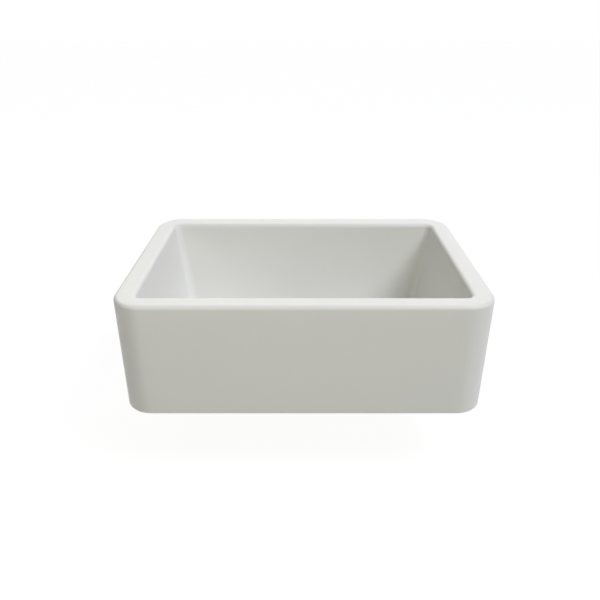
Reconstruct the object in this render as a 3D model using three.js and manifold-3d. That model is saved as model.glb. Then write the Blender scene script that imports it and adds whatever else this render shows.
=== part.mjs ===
// Apron front kitchen sink with its basket strainer, in millimetres, +Z up.
// The origin is the centre of the basin's underside. The apron faces -Y and +X is to its right.
// The basin is hollow cast in one piece. The strainer hangs in the drain hole and is clamped from
// below. The basket lifts out of it, and the stopper slides on its stem inside the basket.

import * as THREE from 'three';
import { mergeGeometries, mergeVertices } from 'three/addons/utils/BufferGeometryUtils.js';
import Module from 'manifold-3d';

const wasm = await Module();
wasm.setup();

// Basin
const sinkWidth = 762;
const sinkDepth = 532;
const sinkHeight = 252;
const outerCorner = 62;
const rimEdge = 8.5;
const baseEdge = 1.8;
const sideRim = 43.4;
const frontRim = 44;
const rearRim = 54.5;
const bowlEdge = 10;
const wallDraft = 8.6;
const bowlCornerTop = 16.5;
const bowlCornerFoot = 22;
const floorFillet = 22;
const floorAtDrain = 22;
const floorFall = 5;
const drainFromBack = 186;
const skin = 13;
const baseSkin = 16;
const ventRadius = 7;
const ventInset = 120;

// Clearances between pieces that touch on the real product
const seatGap = 0.3;
const holeClearance = 1.3;
const rebateClearance = 1.5;
const outletClearance = 1.45;
const basketClearance = 1.1;
const crossClearance = 1.3;
const strokeClearance = 0.4;

// Strainer body, a pressed steel cup with a flange, a shoulder and a threaded outlet
const strainerWall = 1.5;
const cupDepth = 61.8;
const ledgeDepth = 5.8;
const ledgeWidth = 3.2;
const flangeLap = 11;
const flangeSink = 0.2;
const flangeGasketThickness = 1.5;
const flangeGasketInset = 1;
const sumpRound = 8;
const spigotWall = 3.1;
const spigotLength = 20.5;

// Cross in the outlet, which guides the stem
const crossThickness = 2;
const crossArm = 3.5;
const crossHub = 4.5;
const crossBoreClearance = 1;

// Clamp under the basin
const drainSeatDepth = 2.5;
const drainSeatMargin = 5;
const clampLap = 8;
const underGasketThickness = 4;
const frictionRingThickness = 1.2;
const locknutHeight = 12;
const lugReach = 7;
const lugWidth = 11;
const lugCount = 6;

// Tailpiece and its coupling
const tailRadius = 19.05;
const tailWall = 1;
const tailLength = 105;
const tailFlange = 1.2;
const tailFlangeRelief = 0.6;
const tailWasherThickness = 2.3;
const tailWasherSkirt = 9.5;
const tailWasherWall = 1.05;
const couplingGrip = 12;
const couplingLip = 3;
const couplingWall = 3.6;
const couplingChamfer = 1.5;

// Basket
const basketWall = 1;
const basketTaper = 3.4;
const basketRound = 5;
const beadHeight = 2.4;
const beadRound = 0.7;
const perforationRadius = 2.3;
const perforationsRound = 18;
const perforationSides = 6;
const sideRows = 3;
const floorRings = [18, 12];

// Hub in the basket's floor, with its clip and its O-ring
const hubWall = 3.7;
const hubFlangeReach = 3;
const hubFlangeThickness = 1.5;
const hubHeight = 8.2;
const hubLip = 1.2;
const clipThickness = 1.2;
const clipBite = 1;
const clipReach = 2.5;
const clipOpening = 50;
const ringSection = 0.9;
const ringGrooveHeight = 2.4;

// Stem, knob and stopper
const stemRadius = 4;
const stemStep = 1;
const stemTip = 4.5;
const plungerStroke = 8;
const knobRadius = 13;
const knobHeight = 15;
const knobSink = 0.5;
const knobNeck = 6.5;
const knobScrew = 8;
const knobEdge = 1;
const knobDome = 2.5;
const sealThickness = 3.5;
const sealLap = 7.5;
const sealMargin = 4;
const sealBevel = 0.8;
const plateThickness = 1.5;
const plateInset = 6;
const sealWasherThickness = 1.2;
const sealWasherReach = 6;
const stemNutHeight = 3.7;
const stemNutReach = 2.8;

// Facets
const cornerSteps = 8;
const sideSteps = 6;
const filletSteps = 5;
const baseSteps = 2;
const roundSteps = 36;
const foldSteps = 3;
const smallSteps = 20;

const drainSetback = sinkDepth / 2 - drainFromBack;

// Radii around the drain's axis, from the outlet outwards
const outletRadius = tailRadius + outletClearance;
const spigotRadius = outletRadius + spigotWall;
const sealRadius = outletRadius + sealLap;
const cupRadius = sealRadius + sealMargin + sumpRound;
const cupOuter = cupRadius + strainerWall;
const mouthRadius = cupRadius + ledgeWidth;
const holeRadius = mouthRadius + strainerWall + holeClearance;
const flangeRadius = holeRadius + flangeLap;
const rebateRadius = flangeRadius + rebateClearance;
const clampRadius = holeRadius + clampLap;
const lugRadius = clampRadius + lugReach;
const drainSeatRadius = lugRadius + drainSeatMargin;
const threadRadius = stemRadius - stemStep;
const hubBore = stemRadius + seatGap;
const hubRadius = hubBore + hubWall;

// Heights above the basin's underside, from the flange down
const flangeTop = floorAtDrain - flangeSink;
const flangeUnder = flangeTop - strainerWall;
const flangeGasketTop = flangeUnder - seatGap;
const flangeGasketUnder = flangeGasketTop - flangeGasketThickness;
const rebateFloor = flangeGasketUnder - seatGap;
const ledgeTop = flangeTop - ledgeDepth;
const sumpFloor = flangeTop - cupDepth;
const sumpUnder = sumpFloor - strainerWall;
const spigotEnd = sumpUnder - spigotLength;
const underGasketTop = drainSeatDepth - seatGap;
const underGasketUnder = underGasketTop - underGasketThickness;
const frictionTop = underGasketUnder - seatGap;
const frictionUnder = frictionTop - frictionRingThickness;
const locknutTop = frictionUnder - seatGap;
const locknutUnder = locknutTop - locknutHeight;
const tailWasherTop = spigotEnd - seatGap;
const tailWasherUnder = tailWasherTop - tailWasherThickness;
const tailTop = tailWasherUnder - seatGap;
const tailFlangeUnder = tailTop - tailFlange;
const couplingLipTop = tailFlangeUnder - seatGap;

// Heights of the basket and the stopper, from the floor of the cup up
const sealUnder = sumpFloor + seatGap;
const sealTop = sealUnder + sealThickness;
const plateUnder = sealTop + seatGap;
const plateTop = plateUnder + plateThickness;
const stemShoulder = plateTop + seatGap;
const hubEnd = plateTop + plungerStroke + strokeClearance;
const clipUnder = hubEnd + hubLip + seatGap;
const clipTop = clipUnder + clipThickness;
const basketFloorUnder = clipTop + seatGap;
const basketFloorTop = basketFloorUnder + basketWall;
const hubFlangeUnder = basketFloorTop + seatGap;
const hubFlangeTop = hubFlangeUnder + hubFlangeThickness;
const hubTop = hubFlangeTop + hubHeight;
const beadUnder = ledgeTop + seatGap;
const beadTop = beadUnder + beadHeight;
const knobTop = floorAtDrain - knobSink;
const knobUnder = knobTop - knobHeight;
const knobShoulder = knobUnder - seatGap;

// Heights of what hangs under the stopper in the outlet
const sealWasherTop = sealUnder - seatGap;
const sealWasherUnder = sealWasherTop - sealWasherThickness;
const stemNutTop = sealWasherUnder - seatGap;
const stemNutUnder = stemNutTop - stemNutHeight;
const crossTop = stemNutUnder - crossClearance;
const crossUnder = crossTop - crossThickness;
const stemEnd = crossUnder - stemTip;

const glaze = new THREE.MeshStandardMaterial({ color: 0xf0efea, roughness: 0.3, metalness: 0 });
const steel = new THREE.MeshStandardMaterial({ color: 0xc2c3c4, roughness: 0.3, metalness: 1 });
const castZinc = new THREE.MeshStandardMaterial({ color: 0xa4a6a8, roughness: 0.5, metalness: 1 });
const brass = new THREE.MeshStandardMaterial({ color: 0xc7a55a, roughness: 0.35, metalness: 1 });
const rubber = new THREE.MeshStandardMaterial({ color: 0x232325, roughness: 0.8, metalness: 0 });
const foam = new THREE.MeshStandardMaterial({ color: 0xd8d6cf, roughness: 0.9, metalness: 0 });
const fibre = new THREE.MeshStandardMaterial({ color: 0x9a6a48, roughness: 0.9, metalness: 0 });
const nylon = new THREE.MeshStandardMaterial({ color: 0xe6e4dc, roughness: 0.5, metalness: 0 });

// --- Geometry helpers ---

function radians(degrees) {
  return degrees * Math.PI / 180;
}

function solid(geometry) {
  const bare = geometry.clone();
  bare.deleteAttribute('normal');
  bare.deleteAttribute('uv');
  const merged = mergeVertices(bare, 1e-4);
  return new wasm.Manifold(new wasm.Mesh({
    numProp: 3,
    vertProperties: new Float32Array(merged.attributes.position.array),
    triVerts: new Uint32Array(merged.index.array),
  }));
}

function surface(manifold) {
  const mesh = manifold.getMesh();
  const geometry = new THREE.BufferGeometry();
  geometry.setAttribute('position', new THREE.BufferAttribute(mesh.vertProperties, 3));
  geometry.setIndex(new THREE.BufferAttribute(mesh.triVerts, 1));
  return geometry;
}

// A round piece: [radius, height] points turned about Z. A closed section repeats its first point.
function turned(section, steps = roundSteps) {
  const points = section.map(([radius, height]) => new THREE.Vector2(radius, height));
  const geometry = new THREE.LatheGeometry(points, steps);
  geometry.rotateX(Math.PI / 2);
  return geometry;
}

function washer(inner, outer, bottom, top, steps = roundSteps) {
  return turned([
    [inner, bottom],
    [outer, bottom],
    [outer, top],
    [inner, top],
    [inner, bottom],
  ], steps);
}

// Points of an arc in a section, from one angle to another in degrees.
function arc(centreRadius, centreHeight, radius, from, to, steps = filletSteps) {
  const points = [];
  for (let i = 0; i <= steps; i += 1) {
    const angle = radians(from + (to - from) * i / steps);
    points.push([
      centreRadius + radius * Math.cos(angle),
      centreHeight + radius * Math.sin(angle),
    ]);
  }
  return points;
}

// A rounded rectangle at one height, anticlockwise from above, with the same points at any size.
function roundedRing(left, right, front, rear, corner, height, sides = 1) {
  const centres = [
    [right - corner, rear - corner],
    [left + corner, rear - corner],
    [left + corner, front + corner],
    [right - corner, front + corner],
  ];
  const ring = [];
  for (let side = 0; side < 4; side += 1) {
    const [x, y] = centres[side];
    for (let i = 0; i <= cornerSteps; i += 1) {
      const angle = radians(90 * (side + i / cornerSteps));
      ring.push(new THREE.Vector3(x + corner * Math.cos(angle), y + corner * Math.sin(angle), height));
    }
    const [nextX, nextY] = centres[(side + 1) % 4];
    const turn = radians(90 * (side + 1));
    const last = ring[ring.length - 1];
    const next = new THREE.Vector3(corner * Math.cos(turn), corner * Math.sin(turn), height);
    next.x += nextX;
    next.y += nextY;
    for (let i = 1; i < sides; i += 1) {
      ring.push(last.clone().lerp(next, i / sides));
    }
  }
  return ring;
}

// A skin over a stack of rings. A looped stack joins its last ring to its first, and any other is
// closed by a flat cap at both ends.
function lofted(rings, looped = false) {
  const count = rings[0].length;
  const points = rings.flat();
  const faces = [];
  const spans = looped ? rings.length : rings.length - 1;
  for (let i = 0; i < spans; i += 1) {
    const low = i * count;
    const high = ((i + 1) % rings.length) * count;
    for (let j = 0; j < count; j += 1) {
      const k = (j + 1) % count;
      faces.push(low + j, low + k, high + k, low + j, high + k, high + j);
    }
  }
  if (!looped) {
    const lastRing = (rings.length - 1) * count;
    const centreOf = (ring) => ring.reduce((sum, p) => sum.add(p), new THREE.Vector3()).divideScalar(count);
    points.push(centreOf(rings[0]), centreOf(rings[rings.length - 1]));
    const bottomCentre = points.length - 2;
    const topCentre = points.length - 1;
    for (let j = 0; j < count; j += 1) {
      const k = (j + 1) % count;
      faces.push(bottomCentre, k, j);
      faces.push(topCentre, lastRing + j, lastRing + k);
    }
  }
  const geometry = new THREE.BufferGeometry().setFromPoints(points);
  geometry.setIndex(faces);
  return geometry;
}

// --- Basin ---

const draft = radians(wallDraft);
const floorAtWall = floorAtDrain + floorFall;

function outerRing(inset, height) {
  const x = sinkWidth / 2 - inset;
  const y = sinkDepth / 2 - inset;
  return roundedRing(-x, x, -y, y, outerCorner - inset, height);
}

// A ring of the bowl. The offset is measured inwards from where the wall's plane meets the rim.
function bowlRing(offset, corner, height, sides = 1) {
  const x = sinkWidth / 2 - sideRim - offset;
  const front = -sinkDepth / 2 + frontRim + offset;
  const rear = sinkDepth / 2 - rearRim - offset;
  return roundedRing(-x, x, front, rear, Math.max(corner, 2), height, sides);
}

function wallOffset(height) {
  return (sinkHeight - height) * Math.tan(draft);
}

function bowlCorner(height) {
  const share = (sinkHeight - height) / (sinkHeight - floorAtWall);
  return bowlCornerTop + (bowlCornerFoot - bowlCornerTop) * share;
}

function outerBlock() {
  const rings = [];
  for (let i = 0; i <= baseSteps; i += 1) {
    const turn = radians(90 * i / baseSteps);
    rings.push(outerRing(baseEdge * (1 - Math.sin(turn)), baseEdge * (1 - Math.cos(turn))));
  }
  for (let i = 0; i <= filletSteps; i += 1) {
    const turn = radians(90 * i / filletSteps);
    rings.push(outerRing(rimEdge * (1 - Math.cos(turn)), sinkHeight - rimEdge * (1 - Math.sin(turn))));
  }
  return lofted(rings);
}

function bowlSpace() {
  const sweep = Math.PI / 2 - draft;
  const footDrop = sinkHeight - floorAtWall - floorFillet;
  const footCentre = (floorFillet + footDrop * Math.sin(draft)) / Math.cos(draft);
  const rimCentre = -bowlEdge * (1 - Math.sin(draft)) / Math.cos(draft);
  const rings = [];
  for (let i = 0; i <= filletSteps + 1; i += 1) {
    const turn = sweep * i / (filletSteps + 1);
    const height = floorAtWall + floorFillet * (1 - Math.cos(turn));
    const offset = footCentre - floorFillet * Math.sin(turn);
    rings.push(bowlRing(offset, bowlCorner(height) + wallOffset(height) - offset, height, sideSteps));
  }
  for (let i = filletSteps; i >= 0; i -= 1) {
    const turn = sweep * i / filletSteps;
    const height = sinkHeight - bowlEdge * (1 - Math.cos(turn));
    const offset = rimCentre + bowlEdge * Math.sin(turn);
    rings.push(bowlRing(offset, bowlCorner(height) + wallOffset(height) - offset, height, sideSteps));
  }
  rings.push(bowlRing(rimCentre, bowlCornerTop - rimCentre, sinkHeight + bowlEdge, sideSteps));
  rings.unshift(drainRing(rings[0]));
  return lofted(rings);
}

// The floor falls to this flat circle around the drain. Each point lies towards one of the wall's foot.
function drainRing(foot) {
  const radius = rebateRadius + rebateClearance;
  return foot.map((point) => {
    const angle = Math.atan2(point.y - drainSetback, point.x);
    return new THREE.Vector3(
      radius * Math.cos(angle),
      drainSetback + radius * Math.sin(angle),
      floorAtDrain,
    );
  });
}

// Inside the hollow cast walls, between the outer skin and the bowl's.
function wallCavity() {
  const top = sinkHeight - skin;
  const behindBowl = skin / Math.cos(draft);
  return lofted([
    outerRing(skin, baseSkin),
    outerRing(skin, top),
    bowlRing(wallOffset(top) - behindBowl, bowlCorner(top) + skin, top),
    bowlRing(wallOffset(baseSkin) - behindBowl, bowlCorner(baseSkin) + skin, baseSkin),
  ], true);
}

// Casting vents in the underside, one near each end of both side walls.
function vents() {
  const outerFace = sinkWidth / 2 - skin;
  const innerFace = sinkWidth / 2 - sideRim - wallOffset(baseSkin) + skin;
  const x = (outerFace + innerFace) / 2;
  const y = sinkDepth / 2 - ventInset;
  const length = 2 * baseSkin;
  return mergeGeometries([[x, y], [-x, y], [-x, -y], [x, -y]].map(([atX, atY]) => {
    const vent = new THREE.CylinderGeometry(ventRadius, ventRadius, length, smallSteps);
    vent.rotateX(Math.PI / 2);
    vent.translate(atX, atY, 0);
    return vent;
  }));
}

// The rebate for the flange, the hole through the floor and the ground seat under it.
function drainHole() {
  const cut = turned([
    [0, -baseSkin],
    [drainSeatRadius, -baseSkin],
    [drainSeatRadius, drainSeatDepth],
    [holeRadius, drainSeatDepth],
    [holeRadius, rebateFloor],
    [rebateRadius, rebateFloor],
    [rebateRadius, floorAtDrain + bowlEdge],
    [0, floorAtDrain + bowlEdge],
  ]);
  cut.translate(0, drainSetback, 0);
  return cut;
}

function basin() {
  return surface(
    solid(outerBlock())
      .subtract(solid(bowlSpace()))
      .subtract(solid(wallCavity()))
      .subtract(solid(vents()))
      .subtract(solid(drainHole())),
  );
}

// --- Strainer, clamped in the drain hole ---

function strainerBody() {
  const roundOuter = sumpRound + strainerWall;
  const lip = strainerWall / 2;
  return turned([
    [outletRadius, spigotEnd],
    [spigotRadius, spigotEnd],
    [spigotRadius, sumpUnder],
    ...arc(cupRadius - sumpRound, sumpFloor + sumpRound, roundOuter, -90, 0),
    [cupOuter, ledgeTop - strainerWall],
    [mouthRadius + strainerWall, ledgeTop - strainerWall],
    [mouthRadius + strainerWall, flangeUnder - lip],
    [mouthRadius + strainerWall + lip, flangeUnder],
    [flangeRadius, flangeUnder],
    [flangeRadius, flangeTop - lip],
    [flangeRadius - lip, flangeTop],
    [mouthRadius + strainerWall, flangeTop],
    [mouthRadius, flangeTop - strainerWall],
    [mouthRadius, ledgeTop],
    [cupRadius, ledgeTop],
    ...arc(cupRadius - sumpRound, sumpFloor + sumpRound, sumpRound, 0, -90),
    [outletRadius + lip, sumpFloor],
    [outletRadius, sumpFloor - lip],
    [outletRadius, spigotEnd],
  ]);
}

function outletCross() {
  const reach = 2 * (outletRadius - seatGap);
  const middle = (crossTop + crossUnder) / 2;
  const alongX = new THREE.BoxGeometry(reach, crossArm, crossThickness);
  const alongY = new THREE.BoxGeometry(crossArm, reach, crossThickness);
  alongX.translate(0, 0, middle);
  alongY.translate(0, 0, middle);
  const bore = threadRadius + crossBoreClearance;
  const ring = washer(bore, bore + crossHub, crossUnder, crossTop, smallSteps);
  const hole = turned([
    [0, crossUnder - crossThickness],
    [bore, crossUnder - crossThickness],
    [bore, crossTop + crossThickness],
    [0, crossTop + crossThickness],
  ], smallSteps);
  return surface(solid(alongX).add(solid(alongY)).subtract(solid(hole)).add(solid(ring)));
}

function locknut() {
  const bore = cupOuter + seatGap;
  let nut = solid(washer(bore, clampRadius, locknutUnder, locknutTop));
  const rootRadius = (bore + clampRadius) / 2;
  for (let i = 0; i < lugCount; i += 1) {
    const lug = new THREE.BoxGeometry(lugRadius - rootRadius, lugWidth, locknutHeight);
    lug.translate((lugRadius + rootRadius) / 2, 0, (locknutTop + locknutUnder) / 2);
    lug.rotateZ(2 * Math.PI * i / lugCount);
    nut = nut.add(solid(lug));
  }
  return surface(nut);
}

// --- Tailpiece, hung under the outlet by its coupling nut ---

function tailWasher() {
  const skirtOuter = tailRadius - tailWall - seatGap;
  const skirtInner = skirtOuter - tailWasherWall;
  return turned([
    [skirtInner, tailWasherUnder - tailWasherSkirt],
    [skirtOuter, tailWasherUnder - tailWasherSkirt],
    [skirtOuter, tailWasherUnder],
    [spigotRadius - seatGap, tailWasherUnder],
    [spigotRadius - seatGap, tailWasherTop],
    [skirtInner, tailWasherTop],
    [skirtInner, tailWasherUnder - tailWasherSkirt],
  ]);
}

function tailpiece() {
  const tailEnd = tailTop - tailLength;
  const bore = tailRadius - tailWall;
  return turned([
    [bore, tailEnd],
    [tailRadius, tailEnd],
    [tailRadius, tailFlangeUnder],
    [spigotRadius - tailFlangeRelief, tailFlangeUnder],
    [spigotRadius - tailFlangeRelief, tailTop],
    [bore, tailTop],
    [bore, tailEnd],
  ]);
}

function couplingNut() {
  const top = spigotEnd + couplingGrip;
  const bottom = couplingLipTop - couplingLip;
  const bore = spigotRadius + seatGap;
  const acrossFlats = bore + couplingWall;
  const acrossCorners = acrossFlats / Math.cos(Math.PI / 6);
  const hexagon = new THREE.CylinderGeometry(acrossCorners, acrossCorners, top - bottom, 6);
  hexagon.rotateX(Math.PI / 2);
  hexagon.translate(0, 0, (top + bottom) / 2);
  const envelope = turned([
    [0, bottom],
    [acrossCorners - couplingChamfer, bottom],
    [acrossCorners, bottom + couplingChamfer],
    [acrossCorners, top - couplingChamfer],
    [acrossCorners - couplingChamfer, top],
    [0, top],
  ]);
  const lipBore = tailRadius + seatGap;
  const hollow = turned([
    [0, bottom - couplingLip],
    [lipBore, bottom - couplingLip],
    [lipBore, couplingLipTop],
    [bore, couplingLipTop],
    [bore, top + couplingLip],
    [0, top + couplingLip],
  ]);
  return surface(solid(hexagon).intersect(solid(envelope)).subtract(solid(hollow)));
}

// --- Basket, which lifts out ---

const basketRadius = cupRadius - basketClearance;
const basketFoot = basketRadius - basketTaper;
const hubHole = hubRadius + seatGap;
const wallFoot = basketFloorUnder + basketRound;

function basketShell() {
  const bead = mouthRadius - seatGap;
  const inside = basketRadius - basketWall;
  return turned([
    [hubHole, basketFloorUnder],
    ...arc(basketFoot - basketRound, wallFoot, basketRound, -90, 0, foldSteps),
    [basketRadius, beadUnder],
    [bead - beadRound, beadUnder],
    [bead, beadUnder + beadRound],
    [bead, beadTop - beadRound],
    [bead - beadRound, beadTop],
    [inside + beadRound, beadTop],
    [inside, beadTop - beadRound],
    ...arc(basketFoot - basketRound, wallFoot, basketRound - basketWall, 0, -90, foldSteps),
    [hubHole, basketFloorTop],
    [hubHole, basketFloorUnder],
  ]);
}

function perforation(length) {
  return new THREE.CylinderGeometry(perforationRadius, perforationRadius, length, perforationSides);
}

// Rows of holes in the basket's wall, each row half a step round from the last.
function sidePerforations() {
  const holes = [];
  const pitch = (beadUnder - wallFoot) / (sideRows + 0.5);
  const step = 2 * Math.PI / perforationsRound;
  const through = basketTaper + 2 * basketRound;
  const facet = Math.PI / roundSteps;
  for (let row = 0; row < sideRows; row += 1) {
    const height = wallFoot + pitch * (row + 0.5);
    for (let i = 0; i < perforationsRound; i += 1) {
      const hole = perforation(through);
      hole.rotateZ(Math.PI / 2);
      hole.translate(basketRadius - basketTaper / 2, 0, height);
      hole.rotateZ(step * (i + (row % 2) / 2) + facet);
      holes.push(hole);
    }
  }
  return holes;
}

// Rings of holes in the basket's floor, evenly spaced between the hub's flange and the round.
function floorPerforations() {
  const holes = [];
  const outermost = basketFoot - basketRound - perforationRadius;
  const innermost = hubRadius + hubFlangeReach + 2 * perforationRadius;
  floorRings.forEach((count, ring) => {
    const radius = outermost + (innermost - outermost) * ring / (floorRings.length - 1);
    for (let i = 0; i < count; i += 1) {
      const hole = perforation(2 * basketRound);
      hole.rotateX(Math.PI / 2);
      hole.translate(radius, 0, basketFloorUnder);
      hole.rotateZ(2 * Math.PI * i / count);
      holes.push(hole);
    }
  });
  return holes;
}

function basketCup() {
  const holes = mergeGeometries([...sidePerforations(), ...floorPerforations()]);
  return surface(solid(basketShell()).subtract(solid(holes)));
}

function basketHub() {
  const clipGroove = hubRadius - clipBite;
  const flange = hubRadius + hubFlangeReach;
  const ringGroove = hubBore + 2 * ringSection + seatGap;
  const ringHeight = (hubFlangeTop + hubTop) / 2;
  return turned([
    [hubBore, hubEnd],
    [hubRadius, hubEnd],
    [hubRadius, hubEnd + hubLip],
    [clipGroove, hubEnd + hubLip],
    [clipGroove, basketFloorUnder],
    [hubRadius, basketFloorUnder],
    [hubRadius, hubFlangeUnder],
    [flange, hubFlangeUnder],
    [flange, hubFlangeTop],
    [hubRadius, hubFlangeTop],
    [hubRadius, hubTop],
    [hubBore, hubTop],
    [hubBore, ringHeight + ringGrooveHeight / 2],
    [ringGroove, ringHeight + ringGrooveHeight / 2],
    [ringGroove, ringHeight - ringGrooveHeight / 2],
    [hubBore, ringHeight - ringGrooveHeight / 2],
    [hubBore, hubEnd],
  ], smallSteps);
}

// An open ring that springs into the hub's groove under the basket's floor.
function hubClip() {
  const inner = hubRadius - clipBite + seatGap;
  const outer = hubRadius + clipReach;
  const half = radians(clipOpening / 2);
  const outline = new THREE.Shape();
  outline.absarc(0, 0, outer, half, 2 * Math.PI - half, false);
  outline.absarc(0, 0, inner, 2 * Math.PI - half, half, true);
  outline.closePath();
  const clip = new THREE.ExtrudeGeometry(outline, {
    depth: clipThickness,
    bevelEnabled: false,
    curveSegments: smallSteps,
  });
  clip.translate(0, 0, clipUnder);
  return clip;
}

function hubRing() {
  const ring = new THREE.TorusGeometry(hubBore + ringSection, ringSection, 8, smallSteps);
  ring.translate(0, 0, (hubFlangeTop + hubTop) / 2);
  return ring;
}

// --- Plunger: stem, knob and stopper ---

function stem() {
  const chamfer = stemStep / 2;
  return turned([
    [0, stemEnd],
    [threadRadius - chamfer, stemEnd],
    [threadRadius, stemEnd + chamfer],
    [threadRadius, stemShoulder],
    [stemRadius, stemShoulder],
    [stemRadius, knobShoulder],
    [threadRadius, knobShoulder],
    [threadRadius, knobShoulder + knobScrew],
    [0, knobShoulder + knobScrew],
  ], smallSteps);
}

// A mushroom knob with a blind hole for the end of the stem. Its neck sweeps out into the brim.
function knob() {
  const bore = threadRadius + seatGap;
  const boreTop = knobShoulder + knobScrew + seatGap;
  const sweep = knobRadius - knobEdge - knobNeck;
  const brimTop = knobTop - knobDome;
  const brimUnder = brimTop - 2 * knobEdge;
  return turned([
    [0, boreTop],
    [bore, boreTop],
    [bore, knobUnder],
    [knobNeck, knobUnder],
    ...arc(knobRadius - knobEdge, brimUnder - sweep, sweep, 180, 90),
    [knobRadius, brimUnder + knobEdge],
    [knobRadius - knobEdge, brimTop],
    [knobNeck, knobTop],
    [0, knobTop],
  ], smallSteps);
}

function stopperSeal() {
  const bore = threadRadius + seatGap;
  return turned([
    [bore, sealUnder],
    [sealRadius - sealBevel, sealUnder],
    [sealRadius, sealUnder + sealBevel],
    [sealRadius, sealTop - sealBevel],
    [sealRadius - sealBevel, sealTop],
    [bore, sealTop],
    [bore, sealUnder],
  ]);
}

function stopperPlate() {
  return washer(threadRadius + seatGap, sealRadius - plateInset, plateUnder, plateTop);
}

function sealWasher() {
  const bore = threadRadius + seatGap;
  return washer(bore, bore + sealWasherReach, sealWasherUnder, sealWasherTop, smallSteps);
}

function stemNut() {
  const bore = threadRadius + seatGap;
  const acrossCorners = (bore + stemNutReach) / Math.cos(Math.PI / 6);
  const hexagon = new THREE.CylinderGeometry(acrossCorners, acrossCorners, stemNutHeight, 6);
  hexagon.rotateX(Math.PI / 2);
  hexagon.translate(0, 0, (stemNutTop + stemNutUnder) / 2);
  const hole = new THREE.CylinderGeometry(bore, bore, 2 * stemNutHeight, smallSteps);
  hole.rotateX(Math.PI / 2);
  hole.translate(0, 0, (stemNutTop + stemNutUnder) / 2);
  return surface(solid(hexagon).subtract(solid(hole)));
}

// --- Assembly ---

function piece(name, geometry, material) {
  const mesh = new THREE.Mesh(geometry, material);
  mesh.name = name;
  return mesh;
}

const gasketBore = cupOuter + seatGap;
const flangeGasket = washer(
  mouthRadius + 2 * strainerWall,
  flangeRadius - flangeGasketInset,
  flangeGasketUnder,
  flangeGasketTop,
);

const plunger = new THREE.Group();
plunger.add(
  piece('stem', stem(), steel),
  piece('knob', knob(), steel),
  piece('stopper_plate', stopperPlate(), steel),
  piece('stopper_seal', stopperSeal(), rubber),
  piece('seal_washer', sealWasher(), steel),
  piece('stem_nut', stemNut(), brass),
);

const basket = new THREE.Group();
basket.add(
  piece('basket_cup', basketCup(), steel),
  piece('basket_hub', basketHub(), brass),
  piece('hub_clip', hubClip(), steel),
  piece('hub_o_ring', hubRing(), rubber),
  plunger,
);

const drain = new THREE.Group();
drain.position.set(0, drainSetback, 0);
drain.add(
  piece('flange_gasket', flangeGasket, foam),
  piece('strainer_body', strainerBody(), steel),
  piece('outlet_cross', outletCross(), steel),
  piece('under_gasket', washer(gasketBore, clampRadius, underGasketUnder, underGasketTop), rubber),
  piece('friction_ring', washer(gasketBore, clampRadius, frictionUnder, frictionTop), fibre),
  piece('locknut', locknut(), castZinc),
  piece('tailpiece_washer', tailWasher(), nylon),
  piece('tailpiece', tailpiece(), brass),
  piece('coupling_nut', couplingNut(), brass),
  basket,
);

const sink = new THREE.Group();
sink.add(piece('sink_basin', basin(), glaze), drain);

export default sink;
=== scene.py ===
"""Apron front kitchen sink with its basket strainer, dressed for rendering.

Metres, +Z up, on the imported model's frame: the origin is the centre of the basin's underside and
the apron faces -Y. The sections follow the sink as it is put together: the basin, the strainer that
is clamped in its drain hole, the tailpiece below it, and the basket with its plunger on top.
"""

import math

import bmesh
import bpy
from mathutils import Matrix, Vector


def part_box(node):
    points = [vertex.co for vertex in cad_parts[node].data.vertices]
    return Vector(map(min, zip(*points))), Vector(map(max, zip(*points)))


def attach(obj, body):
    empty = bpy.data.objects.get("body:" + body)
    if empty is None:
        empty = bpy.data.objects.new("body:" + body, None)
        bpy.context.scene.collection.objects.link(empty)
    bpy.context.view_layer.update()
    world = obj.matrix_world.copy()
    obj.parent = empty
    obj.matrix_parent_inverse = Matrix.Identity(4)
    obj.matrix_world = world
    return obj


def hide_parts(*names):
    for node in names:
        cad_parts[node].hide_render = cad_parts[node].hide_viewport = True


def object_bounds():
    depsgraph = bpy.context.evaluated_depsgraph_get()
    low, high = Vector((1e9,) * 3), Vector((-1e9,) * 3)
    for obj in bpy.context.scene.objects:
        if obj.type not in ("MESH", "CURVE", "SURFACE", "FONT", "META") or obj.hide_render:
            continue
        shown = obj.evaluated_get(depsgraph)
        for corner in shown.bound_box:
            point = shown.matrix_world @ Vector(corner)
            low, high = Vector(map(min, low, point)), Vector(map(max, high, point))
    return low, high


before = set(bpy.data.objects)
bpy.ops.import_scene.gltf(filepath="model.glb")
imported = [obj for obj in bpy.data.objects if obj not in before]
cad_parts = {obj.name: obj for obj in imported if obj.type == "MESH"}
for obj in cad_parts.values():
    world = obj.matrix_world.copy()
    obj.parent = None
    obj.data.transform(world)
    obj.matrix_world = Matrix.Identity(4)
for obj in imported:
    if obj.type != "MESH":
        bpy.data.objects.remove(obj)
cad_box = [list(corner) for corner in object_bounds()]

# ==================================================================================================
# The basin. White fireclay, cast hollow in one piece, sprayed with glaze and fired once. The glaze
# covers all but the underside, which stands on the kiln shelf and stays bare biscuit.

MM = 0.001
basin_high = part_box("sink_basin")[1]
half_width = basin_high.x
half_depth = basin_high.y
sink_height = basin_high.z

outer_corner = 62 * MM
rim_edge = 8.5 * MM
base_edge = 1.8 * MM
side_rim = 43.4 * MM
front_rim = 44 * MM
rear_rim = 54.5 * MM
bowl_edge = 10 * MM
wall_draft = math.radians(8.6)
bowl_corner_top = 16.5 * MM
bowl_corner_foot = 22 * MM
floor_fillet = 22 * MM
floor_at_drain = 22 * MM
floor_fall = 5 * MM
skin = 13 * MM
base_skin = 16 * MM
vent_radius = 7 * MM
vent_inset = 120 * MM
rebate_edge = 0.8 * MM
mouth_flat = 1.5 * MM
seat_gap = 0.3 * MM

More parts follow.
